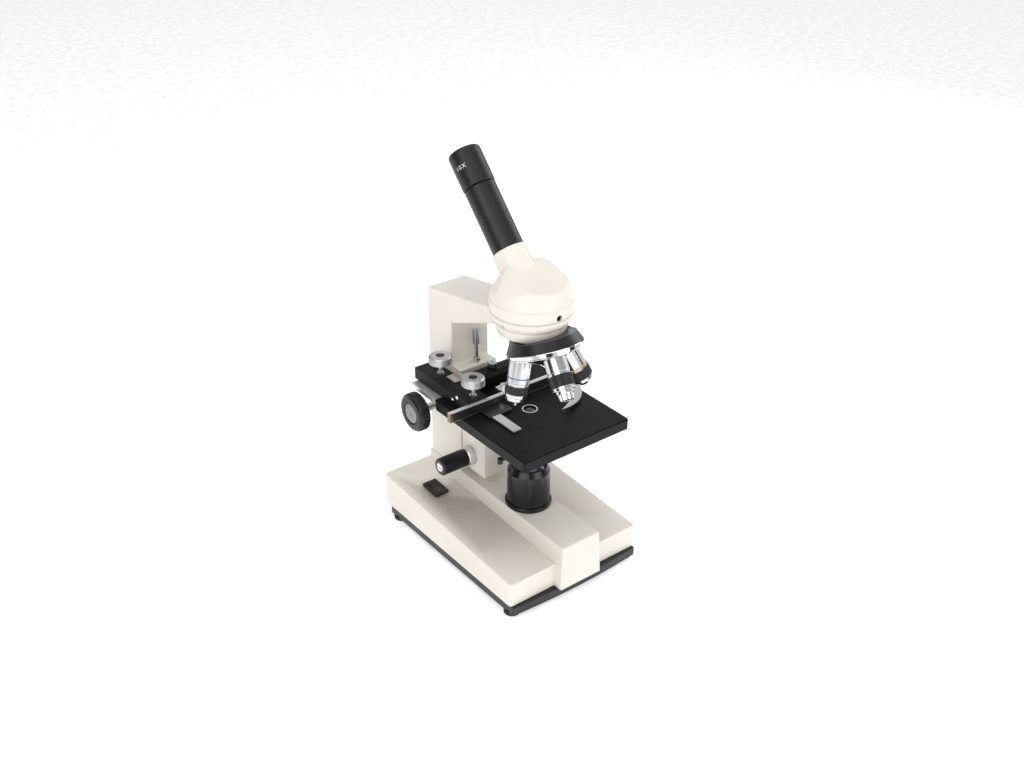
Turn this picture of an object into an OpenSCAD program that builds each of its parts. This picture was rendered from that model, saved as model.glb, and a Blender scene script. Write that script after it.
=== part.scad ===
// Student monocular microscope with a mains lamp, rack focus and a mechanical stage.
// +Z is up, the origin is on the ground at the middle of the footprint, the front faces -Y.

/* [Base] */
// Width of the base
base_w = 146; // [120:1:180]
// Length of the base, front to back
base_l = 200; // [194:1:230]
// Height of the underside of the painted base shell
shell_z = 12; // [10:0.5:16]
// Height of the base wings at their front
wing_front_z = 36; // [32:0.5:42]
// Height of the base wings at their back
wing_back_z = 46; // [42:0.5:54]
// Radius of the base's upright corners
base_corner_r = 3; // [2:0.5:9]
// Wall of the base shell
shell_wall = 3; // [2.5:0.5:4]
// Width of the raised middle block at its top
block_w = 43; // [41:0.5:50]
// Height of the raised middle block
block_z = 57; // [56:0.5:57]
// Reach of the middle block in front of the wings
block_nose = 9.5; // [4:0.5:14]
// Thickness of the rubber feet
foot_h = 4; // [3:0.5:8]
// Radius of the rubber feet
foot_r = 7.5; // [6.5:0.5:12]

/* [Arm] */
// Width of the column and the arm
column_w = 42; // [38:0.5:42]
// Back face of the column
column_back_y = 93; // [84:0.5:94]
// Front face of the lower column
column_front_y = 43.8; // [42:0.2:46]
// Front face of the upper column
neck_front_y = 56.3; // [54:0.1:60]
// Height of the ledge on the lower column
ledge_z = 167.3; // [166:0.1:176]
// Height of the arm's top at the back
arm_back_z = 234; // [228:0.5:242]
// Height of the arm's top where it meets the head ring
arm_front_z = 249; // [246:0.5:250]
// Height of the arm's underside at the column
arm_under_z = 210.5; // [204:0.5:220]
// Height of the head ring's underside
ring_z = 235.8; // [235:0.1:240]
// Height of the joint between the head ring and the turning head
head_joint_z = 255.5; // [253:0.5:258]
// Outer radius of the head ring at the joint
ring_r = 36.4; // [34:0.2:40]
// Place of the optical axis, front to back
optic_y = -32.6; // [-36:0.2:-30]

/* [Focus] */
// Height of the coarse focus shaft
coarse_z = 136; // [130:0.5:140]
// Radius of the coarse focus shaft
coarse_shaft_r = 4; // [3:0.25:5]
// Pitch radius of the coarse pinion
coarse_pitch_r = 4.8; // [4.6:0.1:5]
// Radius of the coarse focus knobs
coarse_knob_r = 18.3; // [14:0.1:18.5]
// Thickness of the coarse focus knobs
coarse_knob_t = 11; // [9:0.5:13]
// Outer face of each coarse knob from the middle
coarse_reach = 71; // [69:0.5:74]
// Height of the fine focus shaft
fine_z = 83.5; // [81:0.5:88]
// Place of the fine focus shaft, front to back
fine_y = 29; // [26:0.5:31]
// Radius of the fine focus shaft
fine_shaft_r = 3; // [2.5:0.25:4]
// Radius of the fine focus knobs
fine_knob_r = 8.4; // [7:0.1:10]
// Outer face of each fine knob from the middle
fine_reach = 56; // [50:0.5:60]
// Front face of the moving focus carriage
carriage_front_y = 8.3; // [6:0.1:9]
// Width of the focus carriage
carriage_w = 39; // [37:0.5:41]
// Underside of the focus carriage
carriage_z = 67; // [66.5:0.5:68]
// Height of the focus carriage
carriage_h = 78; // [75:0.25:78]
// Radial clearance of shafts that turn in their bores
run_gap = 0.05; // [0.02:0.01:0.1]
// Gap between pieces that slide past each other
slide_gap = 0.3; // [0.2:0.05:0.4]

/* [Stage] */
// Width of the stage plate
stage_w = 116.5; // [110:0.5:118]
// Front edge of the stage plate
stage_front_y = -98.5; // [-106:0.1:-90]
// Back edge of the stage plate
stage_back_y = 30.7; // [30:0.1:32]
// Height of the stage's top face
stage_z = 156.4; // [156.2:0.1:157]
// Thickness of the stage plate
stage_t = 10; // [9:0.25:10.5]
// Radius of the hole in the stage
stage_hole_r = 7.5; // [7:0.25:12]
// Outer radius of the condenser barrel
condenser_r = 19.5; // [17:0.5:22]
// Underside of the condenser barrel
condenser_z = 112; // [110:0.5:116]
// Length of the iris lever from the optical axis
iris_reach = 38; // [32:0.5:46]

/* [Mechanical stage] */
// Left side of the sliding block
block_left_x = -50.5; // [-54:0.1:-48]
// Right side of the sliding block
block_right_x = -28.7; // [-30:0.1:-28]
// Front end of the sliding block
yblock_front_y = -5.5; // [-6:0.1:-5]
// Back end of the sliding block
yblock_back_y = 73.5; // [66:0.5:80]
// Height of the sliding block
yblock_h = 11.3; // [11:0.1:14]
// Sideways place of both stage knobs
stage_knob_x = -38.5; // [-39:0.1:-38]
// Place of the front-to-back knob along the block
y_knob_y = 49.3; // [46:0.1:52]
// Place of the sideways knob along the block
x_knob_y = -0.6; // [-0.8:0.1:-0.4]
// Radius of the stage knobs
stage_knob_r = 10.6; // [8:0.1:12]
// Thickness of the stage knobs
stage_knob_t = 7; // [5:0.25:9]
// Height of the knob undersides above the sliding block
stage_knob_rise = 12; // [8:0.5:16]
// Pitch radius of the front-to-back pinion
y_pitch_r = 4; // [3.8:0.1:4.2]
// Pitch radius of the sideways pinion
x_pitch_r = 6; // [5.9:0.05:6.1]
// Left end of the slide bar
bar_left_x = -71.8; // [-74:0.1:-68]
// Right end of the slide bar
bar_right_x = 60; // [60:0.5:64]
// Height of the slide bar
bar_h = 9; // [8.6:0.1:10]
// Thickness of the slide bar
bar_t = 4; // [3:0.25:4.5]
// Reach of the fixed finger in front of the bar
finger_reach = 44.8; // [38:0.1:48]

/* [Nosepiece] */
// Tilt of the turret's axis from upright
nose_tilt = 21.4; // [20.9:0.1:22]
// Turn of the turret past the click stop
turret_turn = 37.5; // [0:0.5:119]
// Height where the objective axes meet
apex_z = 275; // [274:0.1:276]
// Radius of the turret's grip ring
turret_r = 33.8; // [33.2:0.1:35]
// Distance of the turret ring from the apex
turret_l = 51.6; // [51.2:0.1:52]
// Distance of the objective seats from the apex along each objective
seat_d = 64; // [63.8:0.1:65]
// Radius of the objective barrels
objective_r = 9.4; // [9.1:0.1:9.6]

/* [Head and eyepiece] */
// Rise of the eyepiece tube from level
tube_angle = 47; // [40:1:55]
// Height where the eyepiece axis leaves the optical axis
fold_z = 263; // [262:0.5:264]
// Distance along the eyepiece axis to the tube's lower end
tube_start = 46.5; // [46:0.1:50]
// Outer radius of the eyepiece tube
tube_r = 14; // [13.5:0.1:15.5]
// Bore radius of the eyepiece tube
tube_bore_r = 11.65; // [11.65:0.05:12.2]
// Length of the eyepiece tube
tube_len = 59.5; // [45:0.5:70]
// Length of the eyepiece above its tube
eyepiece_len = 33.5; // [22:0.5:36]
// Outer radius of the eyepiece
eyepiece_r = 14.6; // [13.5:0.1:15.5]
// Height of the head's roof at its front edge
roof_z = 280.4; // [278:0.2:284]
// Slope of the head's roof
roof_tilt = 15; // [6:0.5:16]

/* [Hidden] */
$fn = 72;
facet_fn = 48;
eps = 0.01;

ivory = [0.93, 0.91, 0.84];
black = [0.09, 0.09, 0.10];
steel = [0.72, 0.72, 0.73];

front_y = -base_l / 2;
back_y = base_l / 2;
nose_y = front_y - block_nose;
plate_t = shell_z - foot_h;
block_draft = 2;
wing_slope = atan((wing_back_z - wing_front_z) / base_l);

// ---- shared shapes ----

// A plate with round upright corners, centred on the origin.
module rounded_slab(w, l, h, r) {
    linear_extrude(h) rounded_outline(w, l, r);
}

module rounded_outline(w, l, r) {
    square([w - 2 * r, l], center = true);
    square([w, l - 2 * r], center = true);
    for (sx = [-1, 1], sy = [-1, 1])
        translate([sx * (w / 2 - r), sy * (l / 2 - r)]) circle(r = r);
}

// A box given by its lowest corner and its highest corner.
module span(low, high) {
    translate(low) cube(high - low);
}

module along_x() {
    rotate([0, 90, 0]) children();
}

module both_sides() {
    children();
    mirror([1, 0, 0]) children();
}

// A turned piece from [radius, height] pairs, closed to the axis.
module turned(profile) {
    last = len(profile) - 1;
    rotate_extrude() polygon(concat([[0, profile[0][1]]], profile, [[0, profile[last][1]]]));
}

// A ring of straight teeth on a disc, made as a disc with grooves that take a share of the pitch.
module toothed_disc(pitch_r, h, teeth, depth, share = 0.5) {
    groove = 2 * PI * pitch_r / teeth * share;
    difference() {
        cylinder(r = pitch_r + depth / 2, h = h);
        for (i = [0:teeth - 1])
            rotate([0, 0, (i + 0.5) * 360 / teeth])
                translate([pitch_r - depth / 2, -groove / 2, -eps])
                    cube([2 * depth, groove, h + 2 * eps]);
    }
}

// ---- base ----

function wing_top(y) = wing_front_z + (y - front_y) * (wing_back_z - wing_front_z) / base_l;

module wing_body(inset, top_drop, z0) {
    intersection() {
        translate([0, 0, z0])
            rounded_slab(base_w - 2 * inset, base_l - 2 * inset, 2 * wing_back_z, base_corner_r);
        translate([base_w, 0, 0]) rotate([90, 0, -90])
            linear_extrude(2 * base_w)
                polygon([[-front_y + 1, 0], [-front_y + 1, wing_front_z - top_drop],
                    [-back_y - 1, wing_back_z - top_drop], [-back_y - 1, 0]]);
    }
}

// The raised middle block: a drafted bar that runs from the nose to the column's back.
module middle_block(inset, top_drop, z0) {
    half_top = block_w / 2 - inset;
    block_end_y = column_back_y + 3 - inset;
    translate([0, block_end_y, 0]) rotate([90, 0, 0])
        linear_extrude(block_end_y - nose_y - inset)
            polygon([[-half_top - block_draft, z0], [-half_top, block_z - top_drop],
                [half_top, block_z - top_drop], [half_top + block_draft, z0]]);
}

lamp_bore_r = 17;
switch_x = -46.5;
switch_y = 51;
switch_w = 15;
switch_l = 23;
switch_z = wing_top(switch_y);
inlet_x = 44;
inlet_z = 27;
inlet_w = 26;
inlet_h = 20;
fuse_x = 14;
fuse_z = 26;
fuse_r = 7;
foot_x = base_w / 2 - foot_r + 0.5;
foot_front_y = front_y + foot_r - 1;
foot_back_y = back_y - foot_r - 10;
screw_x = base_w / 2 - 24;

module base_shell() {
    color(ivory) difference() {
        union() {
            wing_body(0, 0, shell_z);
            middle_block(0, 0, shell_z);
        }
        wing_body(shell_wall, shell_wall, shell_z - eps);
        middle_block(shell_wall, shell_wall, shell_z - eps);
        translate([0, optic_y, 0]) cylinder(r = lamp_bore_r + slide_gap, h = block_z + 1);
        translate([switch_x, switch_y, 0])
            span([-switch_w / 2 + 1.5, -switch_l / 2 + 1.5, shell_z],
                [switch_w / 2 - 1.5, switch_l / 2 - 1.5, wing_back_z + 5]);
        translate([inlet_x, 0, inlet_z])
            span([-inlet_w / 2 + 2, back_y - 2 * shell_wall, -inlet_h / 2 + 2],
                [inlet_w / 2 - 2, back_y + 1, inlet_h / 2 - 2]);
        translate([fuse_x, back_y + 1, fuse_z])
            rotate([90, 0, 0]) cylinder(r = fuse_r - 2, h = 3 * shell_wall);
    }
}

plate_bow_r = 760;

module base_plate() {
    front = nose_y + 3.5;
    depth = back_y - 4 - front;
    color(black) difference() {
        translate([0, front + depth / 2, foot_h])
            intersection() {
                rounded_slab(base_w - 2, depth, plate_t, 6);
                translate([0, plate_bow_r - depth / 2, -1]) cylinder(r = plate_bow_r, h = plate_t + 2, $fn = 360);
            }
        for (sx = [-1, 1], y = [foot_front_y, foot_back_y])
            translate([sx * screw_x, y, foot_h - 1]) cylinder(r = 2.1, h = plate_t + 2);
    }
}

module rubber_feet() {
    color(black) for (sx = [-1, 1], y = [foot_front_y, foot_back_y])
        translate([sx * foot_x, y, 0])
            turned([[foot_r - 1, 0], [foot_r, 1], [foot_r, foot_h - 0.8], [foot_r - 0.8, foot_h]]);
}

module base_screws() {
    color(steel) for (sx = [-1, 1], y = [foot_front_y, foot_back_y])
        translate([sx * screw_x, y, 0]) difference() {
            union() {
                translate([0, 0, foot_h - 2.2]) cylinder(r = 3.8, h = 2.2);
                translate([0, 0, foot_h - eps]) cylinder(r = 2, h = plate_t - 0.5);
            }
            translate([-4, -0.5, foot_h - 2.3]) cube([8, 1, 1.1]);
        }
}

bezel_t = 2;

module tilted_on_wing(x, y) {
    translate([x, y, wing_top(y)]) rotate([wing_slope, 0, 0]) children();
}

module switch_housing() {
    color(black) tilted_on_wing(switch_x, switch_y) difference() {
        union() {
            rounded_slab(switch_w, switch_l, bezel_t, 1);
            span([-switch_w / 2 + 2, -switch_l / 2 + 2, -14], [switch_w / 2 - 2, switch_l / 2 - 2, eps]);
        }
        span([-switch_w / 2 + 3, -switch_l / 2 + 3, -7.5], [switch_w / 2 - 3, switch_l / 2 - 3, bezel_t + 1]);
        translate([-switch_w, 0, rocker_pivot]) along_x() cylinder(r = 1, h = 2 * switch_w);
    }
}

rocker_pivot = -2;
rocker_r = 7.4;
rocker_tilt = 9;

// A rocker with two flats that meet in a shallow valley, resting on its back half.
module switch_rocker() {
    half_w = switch_w / 2 - 3 - slide_gap;
    half_l = switch_l / 2 - 3 - slide_gap;
    color(black) tilted_on_wing(switch_x, switch_y)
        translate([0, 0, rocker_pivot]) rotate([rocker_tilt, 0, 0]) union() {
            rotate([90, 0, 90]) translate([0, 0, -half_w]) linear_extrude(2 * half_w)
                intersection() {
                    polygon([[-half_l, 5.2], [0, 3.6], [half_l, 5.2], [half_l - 1.2, -1],
                        [3, -3.4], [-3, -3.4], [-half_l + 1.2, -1]]);
                    circle(r = rocker_r + 1.2);
                }
            translate([-half_w - 1, 0, 0]) along_x() cylinder(r = 1 - run_gap, h = 2 * half_w + 2);
        }
}

module power_inlet() {
    color(black) translate([inlet_x, back_y, inlet_z]) difference() {
        union() {
            span([-inlet_w / 2, 0, -inlet_h / 2], [inlet_w / 2, 2.5, inlet_h / 2]);
            span([-inlet_w / 2 + 2.3, -20, -inlet_h / 2 + 2.3], [inlet_w / 2 - 2.3, eps, inlet_h / 2 - 2.3]);
        }
        span([-inlet_w / 2 + 4, -16, -inlet_h / 2 + 4], [inlet_w / 2 - 4, 3, inlet_h / 2 - 4]);
        for (sx = [-1, 1])
            translate([sx * (inlet_w / 2 - 2), -2.5, 0]) rotate([-90, 0, 0]) cylinder(r = 0.9, h = 6);
    }
}

module fuse_cap() {
    color(black) translate([fuse_x, back_y, fuse_z]) rotate([-90, 0, 0]) difference() {
        union() {
            turned([[fuse_r, 0], [fuse_r, 2], [fuse_r - 1.2, 2.4], [fuse_r - 1.4, block_nose - 0.8],
                [fuse_r - 2.2, block_nose]]);
            translate([0, 0, -22]) cylinder(r = fuse_r - 2.4, h = 22 + eps);
        }
        translate([-fuse_r, -0.7, block_nose - 1.5]) cube([2 * fuse_r, 1.4, 2]);
    }
}

transformer_size = [44, 38, 22];

module transformer() {
    color([0.55, 0.4, 0.25]) translate([24, 20, shell_z]) union() {
        cube(transformer_size - [0, 0, 4]);
        translate([8, 3, -eps]) cube([28, 32, transformer_size[2]]);
    }
}

module lamp_socket() {
    color([0.9, 0.9, 0.88]) translate([0, optic_y, shell_z]) difference() {
        union() {
            cylinder(r = 13, h = 3);
            translate([0, 0, 3 - eps]) cylinder(r = 8.5, h = 12);
        }
        translate([0, 0, 4]) cylinder(r = 5.3, h = 20);
    }
}

module bulb() {
    color([0.95, 0.95, 0.9]) translate([0, optic_y, shell_z + 4]) union() {
        cylinder(r = 5.1, h = 12);
        translate([0, 0, 12 - eps]) cylinder(r = 4.2, h = 12);
        translate([0, 0, 24]) sphere(r = 4.2);
    }
}

lamp_r = 19.75;
lamp_top_z = 98.5;
lamp_flange_r = 21.6;
lamp_glass_r = 15;

module lamp_housing() {
    rib = 0.35;
    color(black) translate([0, optic_y, 0]) difference() {
        turned([[lamp_flange_r - 0.6, block_z], [lamp_flange_r, block_z + 0.6],
            [lamp_flange_r, block_z + 3.4], [lamp_flange_r - 0.8, block_z + 4.2], [lamp_r, block_z + 4.4],
            [lamp_r, lamp_top_z - 5.5], [lamp_r - 0.8, lamp_top_z - 4], [lamp_r - 2.8, lamp_top_z]]);
        translate([0, 0, block_z - eps]) cylinder(r = lamp_glass_r, h = lamp_top_z);
        translate([0, 0, lamp_top_z - 5]) cylinder(r = lamp_glass_r + 1, h = 6);
        for (i = [0:59])
            rotate([0, 0, i * 6]) translate([lamp_r, 0, block_z + 7]) cylinder(r = rib, h = 24);
    }
    color(black) translate([0, optic_y, 0]) difference() {
        translate([0, 0, block_z - shell_wall - 4]) cylinder(r = lamp_bore_r, h = shell_wall + 4 + eps);
        cylinder(r = lamp_glass_r, h = block_z + 1);
    }
}

module collector_lens() {
    color([0.8, 0.9, 0.95, 0.5]) translate([0, optic_y, lamp_top_z - 5]) intersection() {
        cylinder(r = lamp_glass_r + 1 - run_gap, h = 8);
        translate([0, 0, -28]) sphere(r = 34, $fn = 96);
    }
}

// ---- arm ----

coarse_y = column_front_y + 8.2;
rack_pitch_y = coarse_y - coarse_pitch_r;
slot_half_w = 5;
slot_depth = 15.5;
slot_bottom_z = 78;
slot_top_z = ledge_z - 6;
rail_x = 13;
rail_w = 5;
rail_depth = 5;
rail_bottom_z = 74;
rail_top_z = 158;
socket_r = 25;
socket_z = 247.5;
ring_bore_r = 14;
stop_y = (column_front_y + neck_front_y) / 2;
stop_x = 2.5;
stop_r = 1.9;
set_screw_z = 250;
set_screw_turn = 8.5;

module arm_profile() {
    arm_end_y = optic_y + 12;
    polygon([
        [column_back_y, block_z], [column_back_y, arm_back_z], [optic_y + ring_r, arm_front_z],
        [arm_end_y, arm_front_z], [arm_end_y, ring_z + 1], [optic_y + 24, ring_z + 1],
        [neck_front_y, arm_under_z], [neck_front_y, ledge_z], [column_front_y, ledge_z],
        [column_front_y, block_z]
    ]);
}

module ring_solid() {
    translate([0, optic_y, 0])
        turned([[ring_r - 7.4, ring_z], [ring_r - 6.2, ring_z + 0.8], [ring_r - 5, ring_z + 8.6],
            [ring_r - 5.4, ring_z + 9], [ring_r - 5.4, ring_z + 9.6], [ring_r - 3.6, ring_z + 10],
            [ring_r - 0.9, ring_z + 14.5], [ring_r, head_joint_z - 1], [ring_r - 0.5, head_joint_z]]);
}

module arm() {
    color(ivory) difference() {
        union() {
            translate([-column_w / 2, 0, 0]) rotate([90, 0, 90])
                linear_extrude(column_w) arm_profile();
            ring_solid();
        }
        translate([0, optic_y, socket_z]) cylinder(r = socket_r, h = 20);
        translate([0, optic_y, ring_z - 1]) cylinder(r = ring_bore_r, h = 20);
        span([-slot_half_w, column_front_y - 1, slot_bottom_z],
            [slot_half_w, column_front_y + slot_depth, slot_top_z]);
        translate([-column_w, coarse_y, coarse_z]) along_x()
            cylinder(r = coarse_shaft_r + run_gap, h = 2 * column_w);
        translate([stop_x, stop_y, slot_top_z - 1]) cylinder(r = stop_r + run_gap, h = 12);
        translate([0, optic_y, set_screw_z]) rotate([0, 0, set_screw_turn]) rotate([0, -90, 0])
            cylinder(r = 2 + run_gap, h = 2 * ring_r);
    }
}

module guide_rails() {
    color(steel) both_sides()
        span([rail_x - rail_w / 2, column_front_y - rail_depth, rail_bottom_z],
            [rail_x + rail_w / 2, column_front_y, rail_top_z]);
}

module ring_set_screw() {
    color(steel) translate([0, optic_y, set_screw_z]) rotate([0, 0, set_screw_turn]) rotate([0, -90, 0]) difference() {
        translate([0, 0, socket_r + 0.2]) cylinder(r = 2, h = ring_r - socket_r - 1.8);
        translate([-3, -0.4, ring_r - 2.8]) cube([6, 0.8, 2]);
    }
}

module stop_screw() {
    color(steel) translate([stop_x, stop_y, 0]) union() {
        translate([0, 0, slot_top_z - 1.5]) cylinder(r = stop_r, h = ledge_z + 20 - slot_top_z);
        translate([0, 0, ledge_z + slide_gap]) cylinder(r = 3.4, h = 3.6, $fn = 6);
        translate([0, 0, ledge_z + 18.5]) toothed_disc(3.2, 14, 18, 0.4);
    }
}

// ---- coarse focus ----

carriage_back_y = column_front_y - 0.5;
carriage_top_z = carriage_z + carriage_h;
carriage_wall = 4;
rack_half_w = 3;
rack_z0 = 96;
rack_z1 = 151.5;

module carriage() {
    groove_half = rail_w / 2 + slide_gap;
    color(ivory) difference() {
        span([-carriage_w / 2, carriage_front_y, carriage_z], [carriage_w / 2, carriage_back_y, carriage_top_z]);
        span([-carriage_w / 2 + carriage_wall, carriage_front_y + carriage_wall, carriage_z + carriage_wall],
            [carriage_w / 2 - carriage_wall, carriage_back_y - 8, carriage_top_z + 1]);
        both_sides() span([rail_x - groove_half, carriage_back_y - rail_depth, carriage_z - 1],
            [rail_x + groove_half, carriage_back_y + 1, carriage_top_z + 1]);
        span([-rack_half_w, carriage_back_y - 4, rack_z0], [rack_half_w, carriage_back_y + 1, carriage_top_z + 1]);
        translate([-carriage_w, fine_y, fine_z]) along_x()
            cylinder(r = fine_shaft_r + run_gap, h = 2 * carriage_w);
        translate([0, lead_y, carriage_z + 1.5]) cylinder(r = 2 + run_gap, h = 6);
    }
}

coarse_teeth = 16;
pinion_share = 0.72;
rack_share = 0.3;

module focus_rack() {
    pitch = 2 * PI * coarse_pitch_r / coarse_teeth;
    depth = 1.1;
    count = floor((rack_z1 - rack_z0) / pitch) - 1;
    phase = coarse_z - pitch * floor((coarse_z - rack_z0) / pitch);
    color(steel) difference() {
        span([-rack_half_w, carriage_back_y - 4, rack_z0], [rack_half_w, rack_pitch_y + depth / 2 - 0.25, rack_z1]);
        for (i = [0:count])
            span([-rack_half_w - 1, rack_pitch_y - depth / 2 - 0.25, phase + i * pitch - pitch * rack_share],
                [rack_half_w + 1, rack_pitch_y + depth, phase + i * pitch + pitch * rack_share]);
    }
}

module coarse_shaft() {
    color(steel) translate([0, coarse_y, coarse_z]) union() {
        translate([-coarse_reach + 3, 0, 0]) along_x()
            cylinder(r = coarse_shaft_r, h = 2 * (coarse_reach - 3));
        translate([-rack_half_w - 0.5, 0, 0]) along_x()
            toothed_disc(coarse_pitch_r, 2 * rack_half_w + 1, coarse_teeth, 1.1, pinion_share);
    }
}

coarse_cap_r = 9.3;

module coarse_knob() {
    ribs = 40;
    face = coarse_reach;
    translate([0, coarse_y, coarse_z]) rotate([0, 90, 0]) difference() {
        turned([[coarse_knob_r - 1.5, face - coarse_knob_t],
            [coarse_knob_r, face - coarse_knob_t + 1.2], [coarse_knob_r, face - 3.2],
            [coarse_knob_r - 1, face - 1.4], [coarse_knob_r - 3, face - 0.3], [coarse_knob_r - 3.6, face],
            [coarse_cap_r + 1.6, face], [coarse_cap_r + 0.4, face - 1.2]]);
        translate([0, 0, face - 1.2 - eps]) cylinder(r = coarse_cap_r + 0.4, h = 3);
        cylinder(r = coarse_shaft_r, h = face - 3);
        for (i = [0:ribs - 1])
            rotate([0, 0, i * 360 / ribs]) translate([coarse_knob_r + 0.5, 0, face - coarse_knob_t - 1])
                cylinder(r = 1, h = coarse_knob_t + 2);
    }
}

module coarse_knobs() {
    color(black) both_sides() coarse_knob();
}

module coarse_caps() {
    color(steel) both_sides() translate([coarse_reach - 1.2, coarse_y, coarse_z]) rotate([0, 90, 0])
        difference() {
            turned([[coarse_cap_r, 0], [coarse_cap_r, 0.6], [coarse_cap_r - 1, 1], [2.4, 1], [1.8, 0.5]]);
            translate([0, 0, 0.5]) cylinder(r = 1.8, h = 2);
        }
}

// ---- fine focus ----

lead_y = fine_y - 5.5;
lead_r = 2;
gear_r = 5.5;
block_half_w = 11;
block_y0 = carriage_front_y + carriage_wall + slide_gap;
block_y1 = carriage_back_y - 8 - slide_gap;
block_bottom_z = 98;
stage_under_z = stage_z - stage_t;

module fine_shaft() {
    color(steel) translate([0, fine_y, fine_z]) union() {
        translate([-fine_reach + 3, 0, 0]) along_x() cylinder(r = fine_shaft_r, h = 2 * (fine_reach - 3));
        translate([4, 0, 0]) along_x() toothed_disc(gear_r, 5, 12, 1);
    }
}

collar_r = 9.2;
collar_t = 8;

module fine_knob() {
    ribs = 24;
    start = carriage_w / 2 + collar_t + 0.6;
    translate([0, fine_y, fine_z]) rotate([0, 90, 0]) difference() {
        turned([[fine_knob_r - 0.5, start], [fine_knob_r, start + 0.5], [fine_knob_r, fine_reach - 1.2],
            [fine_knob_r - 1.2, fine_reach]]);
        cylinder(r = fine_shaft_r, h = fine_reach - 3);
        translate([0, 0, fine_reach - 1]) cylinder(r = 4.7, h = 2);
        for (i = [0:ribs - 1])
            rotate([0, 0, i * 360 / ribs]) translate([fine_knob_r + 0.25, 0, start + 2])
                cylinder(r = 0.6, h = fine_reach - start - 4);
    }
}

module fine_knobs() {
    color(black) both_sides() fine_knob();
}

module fine_caps() {
    color(steel) both_sides() translate([fine_reach - 1, fine_y, fine_z]) rotate([0, 90, 0])
        difference() {
            turned([[4.5, 0], [4.5, 1], [3.9, 1.5]]);
            translate([-0.6, -5, 0.9]) cube([1.2, 10, 1]);
        }
}

// A graduated collar stands still on each side of the carriage, and the shaft turns in it.
module fine_collars() {
    color(steel) both_sides() translate([carriage_w / 2, fine_y, fine_z]) rotate([0, 90, 0])
        difference() {
            turned([[collar_r - 0.4, 0], [collar_r, 0.4], [collar_r, collar_t - 0.8], [collar_r - 0.8, collar_t]]);
            translate([0, 0, -1]) cylinder(r = fine_shaft_r + run_gap, h = collar_t + 2);
        }
}

module lead_screw() {
    color(steel) translate([0, lead_y, 0]) union() {
        translate([0, 0, fine_z - gear_r - 0.5 - slide_gap - 3]) toothed_disc(9.5, 3, 20, 1);
        translate([0, 0, carriage_z + 2]) cylinder(r = lead_r, h = 50);
    }
}

module fine_block() {
    color(steel) difference() {
        span([-block_half_w, block_y0, block_bottom_z], [block_half_w, block_y1, stage_under_z]);
        translate([0, lead_y, block_bottom_z - 1]) cylinder(r = lead_r + run_gap, h = 30);
    }
}

// ---- stage ----

nose_tip_r = 7.2;
nose_tip_z = stage_z - 0.5;
lever_z = 119;
lever_half_t = 1;
lever_turn = 189;
sleeve_r = condenser_r + 4.5;
sleeve_z = 127;

module stage_plate() {
    depth = stage_back_y - stage_front_y;
    edge = 0.8;
    color(black) difference() {
        union() {
            translate([0, stage_front_y + depth / 2, stage_under_z])
                rounded_slab(stage_w, depth, stage_t - edge, 2.5);
            translate([0, stage_front_y + depth / 2, stage_z - edge - eps])
                rounded_slab(stage_w - 2 * edge, depth - 2 * edge, edge + eps, 2);
        }
        translate([0, optic_y, stage_under_z - 1]) cylinder(r = stage_hole_r, h = stage_t + 2);
        translate([0, optic_y, stage_under_z - 1]) cylinder(r = condenser_r - 3, h = 5);
    }
}

module condenser_sleeve() {
    color(black) translate([0, optic_y, 0]) difference() {
        union() {
            translate([0, 0, sleeve_z]) cylinder(r = sleeve_r, h = stage_under_z - sleeve_z);
            translate([0, 0, stage_under_z - 4]) cylinder(r = sleeve_r + 5, h = 4);
        }
        translate([0, 0, sleeve_z - 1]) cylinder(r = condenser_r, h = 40);
    }
}

module condenser_barrel() {
    color(black) translate([0, optic_y, 0]) difference() {
        union() {
            turned([[condenser_r - 1, condenser_z], [condenser_r, condenser_z + 1],
                [condenser_r, stage_under_z - 0.2]]);
            translate([0, 0, stage_under_z - 0.3]) cylinder(r = condenser_r - 3.2, h = 4);
            translate([0, 0, stage_under_z + 3.6]) cylinder(r = nose_tip_r, h = nose_tip_z - stage_under_z - 3.6);
        }
        translate([0, 0, condenser_z - 1]) cylinder(r = condenser_r - 3.5, h = 12);
        translate([0, 0, condenser_z + 5]) cylinder(r = 5.8, h = 60);
        translate([0, 0, lever_z - lever_half_t - slide_gap]) intersection() {
            cylinder(r = condenser_r + 5, h = 2 * (lever_half_t + slide_gap));
            rotate([0, 0, lever_turn]) linear_extrude(20)
                polygon([[0, 0], [40, -40 * tan(36)], [40, 40 * tan(36)]]);
        }
    }
}

module condenser_lens() {
    color([0.8, 0.9, 0.95, 0.5]) translate([0, optic_y, 0]) {
        intersection() {
            translate([0, 0, nose_tip_z - 6]) cylinder(r = 5.7, h = 10);
            translate([0, 0, nose_tip_z - 7.6]) sphere(r = 8);
        }
        translate([0, 0, condenser_z + 6.5]) cylinder(r = 5.7, h = 5.5);
    }
}

module iris_lever() {
    ring_out = condenser_r - 3.5 - slide_gap;
    color(steel) translate([0, optic_y, lever_z]) rotate([0, 0, lever_turn]) union() {
        difference() {
            translate([0, 0, -lever_half_t]) cylinder(r = ring_out, h = 2 * lever_half_t);
            translate([0, 0, -2]) cylinder(r = 9, h = 4);
        }
        span([ring_out - 2, -1.5, -lever_half_t], [iris_reach, 1.5, lever_half_t]);
        translate([iris_reach, 0, -2.5]) cylinder(r = 2.4, h = 5);
    }
}

// ---- mechanical stage, fixed side ----

yblock_z = stage_z + slide_gap;
yblock_top_z = yblock_z + yblock_h;
rack_strip_x0 = stage_knob_x + y_pitch_r + 0.2;
rack_strip_x1 = rack_strip_x0 + 3.6;
tunnel_h = 4.8;
rack_y0 = 20;
rack_y1 = 69;

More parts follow.
